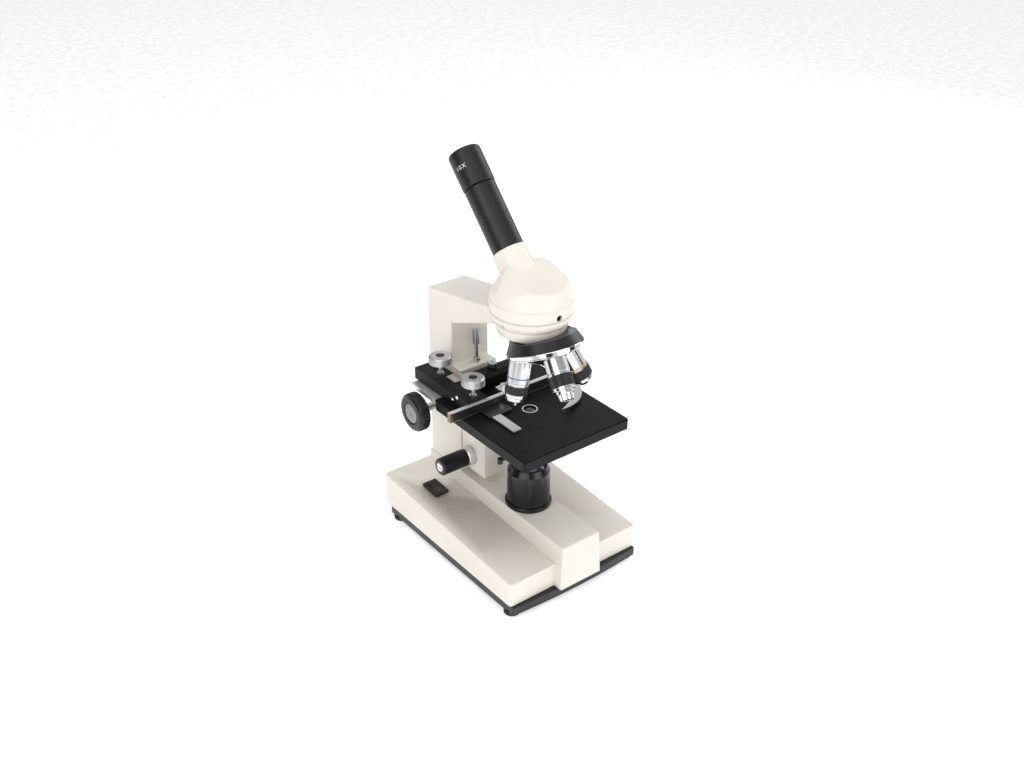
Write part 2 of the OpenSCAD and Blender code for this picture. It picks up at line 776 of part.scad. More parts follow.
module y_rack_strip() {
    teeth = 16;
    pitch = 2 * PI * y_pitch_r / teeth;
    depth = 0.8;
    count = floor((rack_y1 - rack_y0 - 2) / pitch);
    phase = y_knob_y - pitch * floor((y_knob_y - rack_y0 - 1) / pitch);
    difference() {
        span([rack_strip_x0 - depth / 2, rack_y0, stage_z], [rack_strip_x1, rack_y1, stage_z + 4]);
        for (i = [0:count - 1])
            span([rack_strip_x0 - depth, phase + i * pitch - pitch * rack_share, stage_z - 1],
                [rack_strip_x0 + depth / 2, phase + i * pitch + pitch * rack_share, stage_z + 5]);
    }
}

module rack_plate() {
    plate_x0 = block_left_x - 7.6;
    color(steel) union() {
        span([plate_x0, stage_back_y, stage_z - 4], [-column_w / 2 - 1, rack_y1, stage_z]);
        translate([plate_x0 + 4, stage_back_y + 8, stage_z - 6]) cylinder(r = 3, h = 2 + eps);
        y_rack_strip();
    }
}

scale_rail_x0 = block_right_x + slide_gap;
scale_rail_x1 = scale_rail_x0 + 6;

module y_scale_rail() {
    color([0.88, 0.85, 0.75])
        span([scale_rail_x0, stage_back_y + 0.2, stage_z], [scale_rail_x1, 62, yblock_top_z - 0.4]);
}

beam_y0 = 16;
beam_y1 = 30;
beam_z1 = 171.5;
clamp_x = 2;
clamp_y = 25;

module clamp_beam() {
    color(black) union() {
        difference() {
            span([-21, beam_y0, stage_z], [38, beam_y1, beam_z1]);
            translate([-22, beam_y0, beam_z1]) rotate([0, 90, 0]) cylinder(r = 3, h = 70);
        }
        translate([clamp_x, clamp_y, beam_z1 - eps]) cylinder(r = 4.6, h = 2);
    }
}

module clamp_screw() {
    color(steel) translate([clamp_x, clamp_y, beam_z1 + 2]) difference() {
        union() {
            toothed_disc(4.1, 3.4, 20, 0.5);
            translate([0, 0, 3.3]) cylinder(r = 3.6, h = 0.8);
        }
        translate([0, 0, 2.4]) cylinder(r = 1.3, h = 3);
    }
}

// ---- mechanical stage, moving side ----

bar_y1 = x_knob_y - x_pitch_r - 1.9;
bar_y0 = bar_y1 - bar_t;
bar_z0 = stage_z + 1.2;
rib_z0 = bar_z0 + 5.4;
rib_h = 2;
rib_depth = 1.9;
knob_shaft_r = 1.8;
bush_r = 3.5;
bush_h = 2.5;

module y_block() {
    tunnel_x0 = stage_knob_x - y_pitch_r - 1.2;
    groove_y = bar_y1 + rib_depth + slide_gap;
    color(black) difference() {
        union() {
            span([block_left_x, yblock_front_y, yblock_z], [block_right_x, yblock_back_y, yblock_top_z]);
            span([block_left_x, bar_y1 + slide_gap, yblock_z + 4.6], [block_right_x, yblock_front_y + eps, yblock_top_z]);
        }
        span([tunnel_x0, yblock_front_y - 1, yblock_z - 1],
            [rack_strip_x1 + slide_gap, yblock_back_y + 1, yblock_z + tunnel_h]);
        translate([stage_knob_x, x_knob_y, yblock_z - 1]) cylinder(r = x_pitch_r + 1, h = 1 + tunnel_h);
        span([block_left_x - 1, bar_y1 - 1, rib_z0 - slide_gap],
            [block_right_x + 1, groove_y, rib_z0 + rib_h + slide_gap]);
        for (y = [y_knob_y, x_knob_y])
            translate([stage_knob_x, y, yblock_z]) cylinder(r = knob_shaft_r + run_gap, h = 20);
        translate([block_left_x - 1, 11, yblock_z + 6]) along_x() cylinder(r = 2.6, h = 1.6);
    }
}

module vernier_plate() {
    color([0.9, 0.87, 0.78])
        span([block_right_x - 9.4, 27.4, yblock_top_z], [block_right_x - 1.2, 41, yblock_top_z + 0.7]);
}

module knob_bushes() {
    color(steel) for (y = [y_knob_y, x_knob_y])
        translate([stage_knob_x, y, yblock_top_z]) difference() {
            turned([[bush_r, 0], [bush_r, 1], [bush_r - 1, 1.4], [bush_r - 1, bush_h]]);
            translate([0, 0, -1]) cylinder(r = knob_shaft_r + run_gap, h = 6);
        }
}

module stage_knob(pitch_r, teeth, pinion_h) {
    knob_z = yblock_top_z + stage_knob_rise;
    difference() {
        union() {
            translate([0, 0, knob_z]) toothed_disc(stage_knob_r - 0.3, stage_knob_t - 1, 44, 0.6);
            translate([0, 0, knob_z + stage_knob_t - 1.1])
                cylinder(r1 = stage_knob_r - 0.6, r2 = stage_knob_r - 1.6, h = 1.1);
            translate([0, 0, knob_z - 1]) cylinder(r = stage_knob_r - 2.5, h = 1 + eps);
            translate([0, 0, yblock_z + 0.3]) cylinder(r = knob_shaft_r, h = knob_z - yblock_z);
            translate([0, 0, yblock_z + 0.3]) toothed_disc(pitch_r, pinion_h, teeth, 0.8, pinion_share);
        }
        translate([0, 0, knob_z + stage_knob_t - 1]) cylinder(r = 4, h = 2);
    }
}

module y_knob() {
    color(steel) translate([stage_knob_x, y_knob_y, 0]) stage_knob(y_pitch_r, 16, 3.4);
}

module x_knob() {
    color(steel) translate([stage_knob_x, x_knob_y, 0]) rotate([0, 0, 90]) stage_knob(x_pitch_r, 24, 3.4);
}

tab_x0 = -12;
tab_x1 = 1;
tab_y1 = 2;
lug_x0 = bar_right_x - 11;
lug_y0 = bar_y0 - 9.4;
pivot_x = bar_right_x - 4.3;
pivot_y = bar_y0 - 4.8;
pivot_r = 1.5;

module slide_bar() {
    teeth_pitch = 2 * PI * x_pitch_r / 24;
    rack_x0 = stage_knob_x - 30;
    rack_x1 = stage_knob_x + 18;
    count = floor((rack_x1 - rack_x0) / teeth_pitch) - 1;
    phase = stage_knob_x - teeth_pitch * floor((stage_knob_x - rack_x0) / teeth_pitch);
    color(steel) difference() {
        union() {
            span([bar_left_x, bar_y0, bar_z0], [bar_right_x, bar_y1, bar_z0 + bar_h]);
            span([bar_left_x + 2, bar_y1 - eps, rib_z0], [bar_right_x - 10, bar_y1 + rib_depth, rib_z0 + rib_h]);
            span([rack_x0, bar_y1 - eps, bar_z0], [rack_x1, bar_y1 + 1.9, bar_z0 + 3.2]);
            span([tab_x0, bar_y1 - eps, bar_z0 + bar_h - 2], [tab_x1, tab_y1, bar_z0 + bar_h]);
            span([lug_x0, lug_y0, bar_z0], [bar_right_x, bar_y0 + eps, bar_z0 + 1.6]);
        }
        for (i = [0:count])
            span([phase + i * teeth_pitch - teeth_pitch * rack_share, bar_y1 + 1.1, bar_z0 - 1],
                [phase + i * teeth_pitch + teeth_pitch * rack_share, bar_y1 + 3, bar_z0 + 3.3]);
        translate([pivot_x, pivot_y, bar_z0 - 1]) cylinder(r = pivot_r, h = 4);
        translate([tab_x0 + 6.5, tab_y1 - 4.5, bar_z0]) cylinder(r = 1.5, h = bar_h + 2);
    }
}

holder_t = 1.4;

module holder_plate() {
    color([0.22, 0.25, 0.23]) difference() {
        span([-40, bar_y0 - 14.7, bar_z0], [-14.5, bar_y0, bar_z0 + holder_t]);
        translate([-20, bar_y0 - 5, bar_z0 - 1]) cylinder(r = 1.4, h = 4);
    }
}

module fixed_finger() {
    finger_x0 = -37.6;
    finger_w = 8.8;
    front = bar_y0 - finger_reach;
    color(steel) difference() {
        span([finger_x0, front, bar_z0], [finger_x0 + finger_w, bar_y0 - 14.7, bar_z0 + 1.2]);
        translate([finger_x0 + finger_w, front, bar_z0 - 1]) rotate([0, 0, 20])
            translate([-14, -6, 0]) cube([18, 6, 4]);
    }
}

finger_z0 = bar_z0 + 1.9;
finger_t = 1.8;

module holder_screws() {
    color(steel) {
        translate([tab_x0 + 6.5, tab_y1 - 4.5, bar_z0 + bar_h - 3]) difference() {
            union() {
                cylinder(r = 1.5 - eps, h = 3.1);
                translate([0, 0, 3]) toothed_disc(3.6, 2.2, 16, 0.5);
            }
            translate([-4, -0.4, 4.4]) cube([8, 0.8, 2]);
        }
        translate([-20, bar_y0 - 5, bar_z0]) union() {
            cylinder(r = 1.4 - eps, h = holder_t + 0.2);
            translate([0, 0, holder_t]) cylinder(r = 2.6, h = 1);
        }
        translate([pivot_x, pivot_y, bar_z0]) difference() {
            union() {
                cylinder(r = pivot_r - eps, h = finger_z0 + finger_t - bar_z0 + 0.3);
                translate([0, 0, finger_z0 + finger_t - bar_z0 + 0.2]) cylinder(r = 3, h = 1.4);
            }
            translate([-4, -0.4, finger_z0 + finger_t - bar_z0 + 0.9]) cube([8, 0.8, 2]);
        }
    }
}

// The curved finger is a crescent that ends in a point where its outer and inner arcs meet.
crescent_r = 37;
crescent_x = pivot_x - 33.7;
crescent_y = pivot_y - 3.3;
inner_arc_r = 100;

module finger_outline() {
    intersection() {
        translate([crescent_x, crescent_y]) circle(r = crescent_r, $fn = 120);
        union() {
            difference() {
                translate([crescent_x - 6, crescent_y - 40]) square([45, 30]);
                translate([pivot_x - 76.3, pivot_y + 53.1]) circle(r = inner_arc_r, $fn = 240);
            }
            polygon([[pivot_x - 4.2, pivot_y], [pivot_x + 4.2, pivot_y], [pivot_x + 4.2, pivot_y - 24],
                [pivot_x - 9.2, pivot_y - 21.1]]);
        }
    }
}

module spring_finger() {
    color(steel) translate([0, 0, finger_z0]) difference() {
        union() {
            linear_extrude(finger_t) finger_outline();
            translate([pivot_x, pivot_y, 0]) cylinder(r = 4.4, h = finger_t);
        }
        translate([pivot_x, pivot_y, -1]) cylinder(r = pivot_r + run_gap, h = 5);
    }
}

// ---- nosepiece ----

// The turret's own frame: its origin is where the objective axes meet, -Z runs down the axis.
module nose_frame() {
    translate([0, optic_y, apex_z]) rotate([-nose_tilt, 0, 0]) children();
}

module objective_frame(k) {
    nose_frame() rotate([0, 0, turret_turn + 120 * k]) rotate([nose_tilt, 0, 0]) children();
}

cap_shoulder_l = turret_l - 8.4;
hub_r = 5;

// The nosepiece's fixed cap: a cone cut level under the head ring, with a lip in front of the ring.
module nose_base() {
    color(black) difference() {
        union() {
            intersection() {
                nose_frame() turned([[turret_r - 0.4, -turret_l + 0.3], [turret_r - 4.6, -cap_shoulder_l],
                    [turret_r - 5.6, -cap_shoulder_l + 4]]);
                translate([0, optic_y, ring_z - 60]) cylinder(r = 90, h = 60);
            }
            difference() {
                nose_frame() turned([[turret_r - 0.4, -turret_l + 0.3], [turret_r - 4.6, -cap_shoulder_l]]);
                translate([0, optic_y, ring_z - eps]) cylinder(r = ring_r - 4.8, h = 14);
            }
            translate([0, optic_y, ring_z - 3]) cylinder(r = ring_bore_r - run_gap, h = 9);
        }
        translate([0, optic_y, ring_z - 40]) cylinder(r = 9, h = 80);
        nose_frame() translate([0, 0, -turret_l - 1]) cylinder(r = hub_r + run_gap, h = 9);
    }
}

grip_h = 4;
seat_pocket = 0.3;
dome_l = seat_d * cos(nose_tilt) + seat_pocket / cos(nose_tilt);
seat_radius = seat_d * sin(nose_tilt);
thread_r = 8.8;
thread_l = 2;

module turret() {
    rim_l = dome_l - (turret_r - 2 - seat_radius) * tan(nose_tilt);
    hub_l = dome_l + (seat_radius - 7) * tan(nose_tilt);
    color([0.85, 0.85, 0.87]) difference() {
        nose_frame() union() {
            turned([[hub_r, -turret_l + 5], [hub_r, -turret_l], [turret_r - 0.5, -turret_l],
                [turret_r, -turret_l - 0.5], [turret_r, -turret_l - grip_h + 0.5],
                [turret_r - 0.5, -turret_l - grip_h], [turret_r - 2, -turret_l - grip_h - 0.2],
                [turret_r - 2, min(-rim_l, -turret_l - grip_h - 0.4)], [7, -hub_l], [6, -hub_l - 1.2],
                [2, -hub_l - 1.4]]);
        }
        for (k = [0:2]) objective_frame(k) {
            translate([0, 0, -seat_d - 3]) cylinder(r = objective_r + 0.5, h = 3);
            translate([0, 0, -seat_d - 1]) cylinder(r = thread_r + run_gap, h = thread_l + 1);
            translate([0, 0, -seat_d - 1]) cylinder(r = 7, h = 30);
        }
    }
}

// An objective: a barrel, a knurled band and a nose of [radius, distance below its seat] steps.
module objective_body(barrel_l, knurl_r, knurl_l, nose_steps, bore_r) {
    nose_top = barrel_l + 2.2 + knurl_l;
    difference() {
        union() {
            translate([0, 0, -eps]) cylinder(r = thread_r, h = thread_l);
            rotate([180, 0, 0]) turned(concat(
                [[objective_r - 0.4, 0], [objective_r, 0.4], [objective_r + 0.3, barrel_l],
                    [objective_r - 0.1, barrel_l + 0.4], [objective_r - 0.1, barrel_l + 2.2]],
                [[knurl_r, barrel_l + 2.2], [knurl_r, nose_top]], nose_steps));
        }
        translate([0, 0, -70]) cylinder(r = bore_r, h = 80);
        for (i = [0:35])
            rotate([0, 0, 10 * i]) translate([knurl_r + 0.25, 0, -nose_top + 0.4])
                cylinder(r = 0.5, h = knurl_l - 0.8);
    }
}

module objective_4x() {
    color([0.85, 0.85, 0.87]) objective_frame(1) translate([0, 0, -seat_d])
        objective_body(12.1, 9.9, 11, [[9.3, 25.5], [9.3, 27.7], [8, 28.1], [8, 30.3], [6.9, 30.7], [6.2, 36.1]], 5);
}

module objective_10x() {
    color([0.85, 0.85, 0.87]) objective_frame(2) translate([0, 0, -seat_d])
        objective_body(19.3, 9.9, 10, [[9.3, 31.7], [9.3, 33.9], [7.6, 34.5], [6.4, 37.3]], 3.6);
}

module objective_40x() {
    color([0.85, 0.85, 0.87]) objective_frame(0) translate([0, 0, -seat_d])
        objective_body(20.2, 9.8, 8.5, [[9.3, 31.2], [9.3, 33.4], [8.3, 34], [8.2, 36.6], [7, 37.2], [5.8, 40.2]], 2.2);
}

// Each objective's front glass, flush with its nose.
module objective_lenses() {
    lens_d = [40, 35.9, 37.1];
    lens_r = [2.2, 5, 3.6];
    color([0.8, 0.9, 0.95, 0.5]) for (k = [0:2])
        objective_frame(k) translate([0, 0, -seat_d - lens_d[k]]) cylinder(r = lens_r[k] - eps, h = 3);
}

// ---- head ----

skirt_top_z = head_joint_z + 11.5;
roof_half_w = 23;
roof_front_y = optic_y - 31.6;
roof_l = 41.2;
roof_arc_r = 31.6;
boss_r = 14.9;
spigot_r = 12.6;
lock_z = skirt_top_z - 7.5;

module eyepiece_frame() {
    translate([0, optic_y, fold_z]) rotate([tube_angle - 90, 0, 0]) children();
}

module head_hull() {
    hull() {
        translate([0, optic_y, skirt_top_z - 0.8]) cylinder(r = ring_r - 0.4, h = 0.8, $fn = facet_fn);
        translate([0, roof_front_y, roof_z]) rotate([roof_tilt, 0, 0]) translate([0, 0, -1.2])
            linear_extrude(1.2) intersection() {
                translate([-roof_half_w, 0]) square([2 * roof_half_w, roof_l]);
                translate([0, roof_arc_r]) circle(r = roof_arc_r, $fn = 120);
            }
    }
}

module head_housing() {
    color(ivory) difference() {
        union() {
            translate([0, optic_y, 0])
                turned([[socket_r - run_gap, socket_z + 0.6], [socket_r - run_gap, head_joint_z + 0.3],
                    [ring_r - 0.5, head_joint_z + 0.3], [ring_r, head_joint_z + 0.8],
                    [ring_r, skirt_top_z - 1], [ring_r - 0.8, skirt_top_z]]);
            head_hull();
            eyepiece_frame() translate([0, 0, 14])
                cylinder(r1 = boss_r + 0.8, r2 = boss_r, h = tube_start - 14);
        }
        translate([0, optic_y, socket_z - 1]) cylinder(r = 11, h = fold_z + 6 - socket_z);
        eyepiece_frame() cylinder(r = 11, h = tube_start - 9);
        eyepiece_frame() translate([0, 0, tube_start - 10]) cylinder(r = spigot_r, h = 20);
        translate([0, optic_y, 0]) span([-prism_half_w, -prism_half_w, fold_z - 12],
            [prism_half_w, prism_half_w, fold_z + 15]);
        translate([0, optic_y, lock_z]) rotate([90, 0, 0]) cylinder(r = 2.8, h = 60);
    }
}

prism_half_w = 12;

// The prism turns the upright beam into the eyepiece tube.
module prism() {
    half = prism_half_w - 0.5;
    color([0.8, 0.9, 0.95, 0.5]) translate([-half, optic_y, fold_z]) rotate([90, 0, 90])
        linear_extrude(2 * half) polygon([[-11, -11], [11, -11], [11, 3], [-2, 14], [-11, 14]]);
}

module head_lock_screw() {
    color(black) translate([0, optic_y, lock_z]) rotate([90, 0, 0]) difference() {
        translate([0, 0, prism_half_w + 1]) cylinder(r = 2.8 - run_gap, h = ring_r - prism_half_w - 2.6);
        translate([0, 0, ring_r - 4.4]) cylinder(r = 1.5, h = 4, $fn = 6);
    }
}

module eyepiece_tube() {
    color(black) eyepiece_frame() difference() {
        union() {
            translate([0, 0, tube_start]) turned([[tube_r - 0.3, 0], [tube_r, 0.3],
                [tube_r, tube_len - 0.5], [tube_r - 0.5, tube_len]]);
            translate([0, 0, tube_start - 9.5]) cylinder(r = spigot_r - run_gap, h = 10);
        }
        translate([0, 0, tube_start - 12]) cylinder(r = tube_bore_r, h = tube_len + 20);
    }
}

cap_z = tube_start + tube_len + 0.6;
eye_barrel_l = 34;

module eyepiece_body() {
    color(black) eyepiece_frame() translate([0, 0, cap_z]) difference() {
        union() {
            turned([[eyepiece_r - 1, 0], [eyepiece_r, 0.8], [eyepiece_r, eyepiece_len - 2.2],
                [eyepiece_r - 0.6, eyepiece_len - 0.8], [eyepiece_r - 1.6, eyepiece_len]]);
            translate([0, 0, -eye_barrel_l]) cylinder(r = tube_bore_r - run_gap, h = eye_barrel_l + 0.5);
        }
        translate([0, 0, -eye_barrel_l - 1]) cylinder(r = 9.5, h = eye_barrel_l + eyepiece_len - 6);
        translate([0, 0, 2]) cylinder(r = 8, h = 60);
        translate([0, 0, eyepiece_len - 2.6]) cylinder(r1 = 8, r2 = 11.4, h = 2.7);
    }
}

module eyepiece_lenses() {
    color([0.8, 0.9, 0.95, 0.5]) eyepiece_frame() translate([0, 0, cap_z]) {
        translate([0, 0, eyepiece_len - 6.8]) cylinder(r = 8 - run_gap, h = 3.4);
        translate([0, 0, -eye_barrel_l + 1]) cylinder(r = 9.5 - run_gap, h = 3);
    }
}

base_shell();
base_plate();
rubber_feet();
base_screws();
switch_housing();
switch_rocker();
power_inlet();
fuse_cap();
transformer();
lamp_socket();
bulb();
lamp_housing();
collector_lens();
arm();
guide_rails();
ring_set_screw();
stop_screw();
carriage();
focus_rack();
coarse_shaft();
coarse_knobs();
coarse_caps();
fine_shaft();
fine_knobs();
fine_caps();
fine_collars();
lead_screw();
fine_block();
stage_plate();
condenser_sleeve();
condenser_barrel();
condenser_lens();
iris_lever();
rack_plate();
y_scale_rail();
clamp_beam();
clamp_screw();
y_block();
vernier_plate();
knob_bushes();
y_knob();
x_knob();
slide_bar();
holder_plate();
fixed_finger();
holder_screws();
spring_finger();
nose_base();
turret();
objective_4x();
objective_10x();
objective_40x();
objective_lenses();
head_housing();
prism();
head_lock_screw();
eyepiece_tube();
eyepiece_body();
eyepiece_lenses();
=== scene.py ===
import math

import bmesh
import bpy
from mathutils import Matrix, Vector


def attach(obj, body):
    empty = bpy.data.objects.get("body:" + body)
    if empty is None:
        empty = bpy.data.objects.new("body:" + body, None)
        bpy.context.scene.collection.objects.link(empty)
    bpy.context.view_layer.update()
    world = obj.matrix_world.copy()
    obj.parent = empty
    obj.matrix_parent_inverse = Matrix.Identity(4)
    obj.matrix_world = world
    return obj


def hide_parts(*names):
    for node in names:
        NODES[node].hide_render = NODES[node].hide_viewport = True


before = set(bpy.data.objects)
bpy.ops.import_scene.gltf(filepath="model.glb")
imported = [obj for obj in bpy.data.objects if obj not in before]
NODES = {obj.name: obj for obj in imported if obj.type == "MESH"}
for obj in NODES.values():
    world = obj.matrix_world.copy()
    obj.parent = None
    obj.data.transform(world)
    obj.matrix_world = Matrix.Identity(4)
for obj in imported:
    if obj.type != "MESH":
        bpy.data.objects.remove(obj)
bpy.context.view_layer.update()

MM = 0.001
OPTIC_Y = -32.6

# ---------------------------------------------------------------- materials


class Nodes:
    """A small helper that adds shader nodes and links them."""

    def __init__(self, name):
        self.mat = bpy.data.materials.new(name)
        self.mat.use_nodes = True
        self.tree = self.mat.node_tree
        self.bsdf = self.tree.nodes["Principled BSDF"]
        self.coord = self.add("ShaderNodeTexCoord").outputs["Object"]

    def add(self, kind, **inputs):
        node = self.tree.nodes.new(kind)
        for key, value in inputs.items():
            self.put(node, key, value)
        return node

    def put(self, node, key, value):
        socket = node.inputs[key.replace("_", " ")] if isinstance(key, str) else node.inputs[key]
        if isinstance(value, bpy.types.NodeSocket):
            self.tree.links.new(value, socket)
        else:
            socket.default_value = value

    def noise(self, scale, detail=2.0, stretch=None, rough=0.5):
        node = self.add("ShaderNodeTexNoise", Scale=scale, Detail=detail, Roughness=rough)
        source = self.coord
        if stretch:
            mapping = self.add("ShaderNodeMapping", Vector=self.coord)
            mapping.inputs["Scale"].default_value = stretch
            source = mapping.outputs[0]
        self.tree.links.new(source, node.inputs["Vector"])
        return node.outputs["Fac"]

    def ramp(self, fac, stops):
        node = self.add("ShaderNodeValToRGB", Fac=fac)
        elements = node.color_ramp.elements
        while len(elements) < len(stops):
            elements.new(0.5)
        for element, (pos, color) in zip(elements, stops):
            element.position = pos
            element.color = (*color, 1) if isinstance(color, tuple) else (color, color, color, 1)
        return node.outputs["Color"]

    def spread(self, fac, low, high):
        node = self.add("ShaderNodeMapRange", Value=fac)
        node.inputs["To Min"].default_value = low
        node.inputs["To Max"].default_value = high
        return node.outputs[0]

    def bump(self, height, strength, distance=0.0002, normal=None):
        node = self.add("ShaderNodeBump", Height=height, Strength=strength, Distance=distance)
        if normal is not None:
            self.tree.links.new(normal, node.inputs["Normal"])
        return node.outputs[0]

    def finish(self, **sockets):
        for key, value in sockets.items():
            self.put(self.bsdf, key, value)
        return self.mat


def tone(color, k):
    return tuple(min(1.0, c * k) for c in color)


def paint(name, color, rough=0.34, vary=0.035, grain=0.12, coat=0.0):
    """Enamel over a casting: slight shade drift, fine orange peel, a few dull spots."""
    n = Nodes(name)
    drift = n.noise(18, 3)
    base = n.ramp(drift, [(0.3, tone(color, 1 - vary)), (0.7, tone(color, 1 + vary))])
    dull = n.spread(n.noise(260, 4), rough - 0.05, rough + 0.07)
    peel = n.bump(n.noise(1400, 3), grain, 0.00006)
    soft = n.bump(n.noise(90, 2), grain * 0.5, 0.0001, peel)
    return n.finish(Base_Color=base, Roughness=dull, Normal=soft, Coat_Weight=coat, Coat_Roughness=0.18)


def plastic(name, color, rough=0.42, grain=0.35, scale=2600, specular=0.5):
    """Moulded plastic or wrinkle finish with a fine stipple."""
    n = Nodes(name)
    cells = n.noise(scale, 2)
    base = n.ramp(n.noise(60, 3), [(0.3, tone(color, 0.8)), (0.75, tone(color, 1.35))])
    gloss = n.spread(n.noise(420, 3), rough - 0.06, rough + 0.1)
    return n.finish(Base_Color=base, Roughness=gloss, Normal=n.bump(cells, grain, 0.00008),
                    Specular_IOR_Level=specular)


def metal(name, color, rough=0.25, stretch=(1, 1, 1), scale=500, grain=0.1, aniso=0.0):
    """Turned, brushed or plated metal, with tool marks along one direction."""
    n = Nodes(name)
    marks = n.noise(scale, 4, stretch)
    cloud = n.noise(35, 3)
    base = n.ramp(cloud, [(0.3, tone(color, 0.9)), (0.7, tone(color, 1.05))])
    gloss = n.spread(marks, rough * 0.7, rough * 1.5)
    return n.finish(Base_Color=base, Metallic=1.0, Roughness=gloss,
                    Normal=n.bump(marks, grain, 0.00005), Anisotropic=aniso)


def glass(name, color, rough=0.03):
    n = Nodes(name)
    gloss = n.spread(n.noise(80, 3), rough, rough + 0.05)
    base = n.ramp(n.noise(30, 2), [(0.3, tone(color, 0.95)), (0.7, color)])
    return n.finish(Base_Color=base, Roughness=gloss, Transmission_Weight=0.85, IOR=1.5,
                    Normal=n.bump(n.noise(200, 2), 0.02, 0.00005))


IVORY = paint("ivory_enamel", (0.79, 0.745, 0.68), 0.33)
BLACK = paint("black_enamel", (0.006, 0.0062, 0.008), 0.3, vary=0.2, grain=0.08)
GLOSS_BLACK = paint("black_gloss_enamel", (0.002, 0.002, 0.0024), 0.22, vary=0.2, grain=0.03)
BLACK_TUBE = paint("black_lacquer", (0.0035, 0.0038, 0.0048), 0.38, vary=0.2, grain=0.03)
ANODISED = plastic("black_anodised", (0.004, 0.0041, 0.005), 0.45, 0.12, 3200, 0.2)
BLACK_PLASTIC = plastic("black_moulded", (0.007, 0.007, 0.0078), 0.3, 0.1, 1800, 0.4)
ROCKER = plastic("black_rocker", (0.010, 0.010, 0.011), 0.22, 0.1, 900)
RUBBER = plastic("black_rubber", (0.016, 0.016, 0.016), 0.7, 0.5, 2200)
STEEL = metal("turned_steel", (0.62, 0.62, 0.63), 0.28, (1, 1, 14), 420)
ALUMINIUM = metal("satin_aluminium", (0.75, 0.75, 0.76), 0.33, (1, 9, 9), 300)
TURNED = metal("turned_aluminium", (0.78, 0.78, 0.78), 0.26, (1, 1, 16), 380, 0.14)
CHROME = metal("chrome_plate", (0.74, 0.745, 0.76), 0.08, (1, 1, 12), 240, 0.02)
SATIN_CHROME = metal("satin_chrome", (0.70, 0.705, 0.72), 0.13, (1, 1, 10), 360, 0.03)
KNOB_METAL = metal("knurled_satin_metal", (0.62, 0.625, 0.64), 0.36, (1, 1, 10), 360, 0.08)
BRASS = metal("brass", (0.72, 0.52, 0.24), 0.28, (1, 1, 14), 420)
BRONZE = metal("bronzed_end", (0.30, 0.20, 0.13), 0.3, (12, 1, 1), 300)
# painted shade: a darker copy of the pale bar metal, for the slide bar's front face
SHADED_FACE_METAL = metal("painted_shade_bar_front", (0.07, 0.07, 0.075), 0.4, (12, 1, 1), 300, 0.06)
PALE_METAL = metal("pale_plate", (0.90, 0.89, 0.88), 0.42, (1, 9, 9), 260, 0.08)
CAP_METAL = metal("turned_cap", (0.28, 0.28, 0.29), 0.36, (1, 1, 16), 380, 0.14)
GREEN_PLATE = metal("green_black_plate", (0.10, 0.125, 0.11), 0.38, (8, 1, 1), 300, 0.1)
SCALE = metal("scale_plate", (0.74, 0.72, 0.64), 0.35, (10, 1, 1), 420, 0.08)
GLASS = glass("lens_glass", (0.82, 0.92, 0.95))
DARK_GLASS = glass("coated_glass", (0.30, 0.36, 0.46))
CERAMIC = plastic("ceramic", (0.75, 0.73, 0.68), 0.45, 0.15, 900)
WINDING = metal("copper_winding", (0.55, 0.28, 0.12), 0.35, (1, 1, 60), 200, 0.4)
INK = plastic("white_ink", (0.75, 0.75, 0.74), 0.55, 0.1)
DARK_INK = plastic("dark_ink", (0.03, 0.03, 0.03), 0.6, 0.1)
BLUE = paint("blue_ring", (0.03, 0.13, 0.42), 0.3)
YELLOW = paint("yellow_ring", (0.62, 0.42, 0.05), 0.3)

FINISH = {
    "base_plate": BLACK, "rubber_feet": RUBBER, "base_screws": STEEL,
    "switch_housing": BLACK_PLASTIC, "switch_rocker": ROCKER, "power_inlet": BLACK_PLASTIC,
    "fuse_cap": BLACK_PLASTIC, "transformer": WINDING, "lamp_socket": CERAMIC, "bulb": GLASS,
    "lamp_housing": GLOSS_BLACK, "collector_lens": DARK_GLASS, "guide_rails": STEEL,
    "ring_set_screw": STEEL, "stop_screw": STEEL, "carriage": IVORY, "focus_rack": BRASS,
    "coarse_shaft": TURNED, "coarse_knobs": BLACK_PLASTIC, "coarse_caps": CAP_METAL,
    "fine_shaft": STEEL, "fine_knobs": BLACK_PLASTIC, "fine_caps": TURNED,
    "fine_collars": ALUMINIUM, "lead_screw": STEEL, "fine_block": ALUMINIUM,
    "stage_plate": ANODISED, "condenser_sleeve": ANODISED, "condenser_barrel": ANODISED,
    "condenser_lens": DARK_GLASS, "iris_lever": BLACK_PLASTIC, "rack_plate": PALE_METAL,
    "y_scale_rail": SCALE, "clamp_beam": ANODISED, "clamp_screw": SATIN_CHROME, "y_block": ANODISED,
    "vernier_plate": SCALE, "knob_bushes": SATIN_CHROME, "y_knob": KNOB_METAL,
    "x_knob": KNOB_METAL, "slide_bar": PALE_METAL, "holder_plate": GREEN_PLATE,
    "fixed_finger": PALE_METAL, "holder_screws": CHROME, "spring_finger": CHROME,
    "nose_base": BLACK, "turret": CHROME, "objective_4x": SATIN_CHROME,
    "objective_10x": SATIN_CHROME, "objective_40x": SATIN_CHROME,
    "objective_lenses": DARK_GLASS, "prism": GLASS, "head_lock_screw": BLACK_PLASTIC,
    "eyepiece_tube": BLACK_TUBE, "eyepiece_body": BLACK_TUBE, "eyepiece_lenses": DARK_GLASS,
    "base_shell": IVORY, "arm": IVORY, "head_housing": IVORY,
}

# ---------------------------------------------------------------- mesh helpers


def new_object(name, verts, faces, mat, angle=30):
    mesh = bpy.data.meshes.new(name)
    mesh.from_pydata([Vector(v) * MM for v in verts], [], faces)
    mesh.update()
    obj = bpy.data.objects.new(name, mesh)
    bpy.context.collection.objects.link(obj)
    bm = bmesh.new()
    bm.from_mesh(mesh)
    bmesh.ops.recalc_face_normals(bm, faces=bm.faces)
    bm.to_mesh(mesh)
    bm.free()
    smooth(obj, angle)
    mesh.materials.append(mat)
    return obj


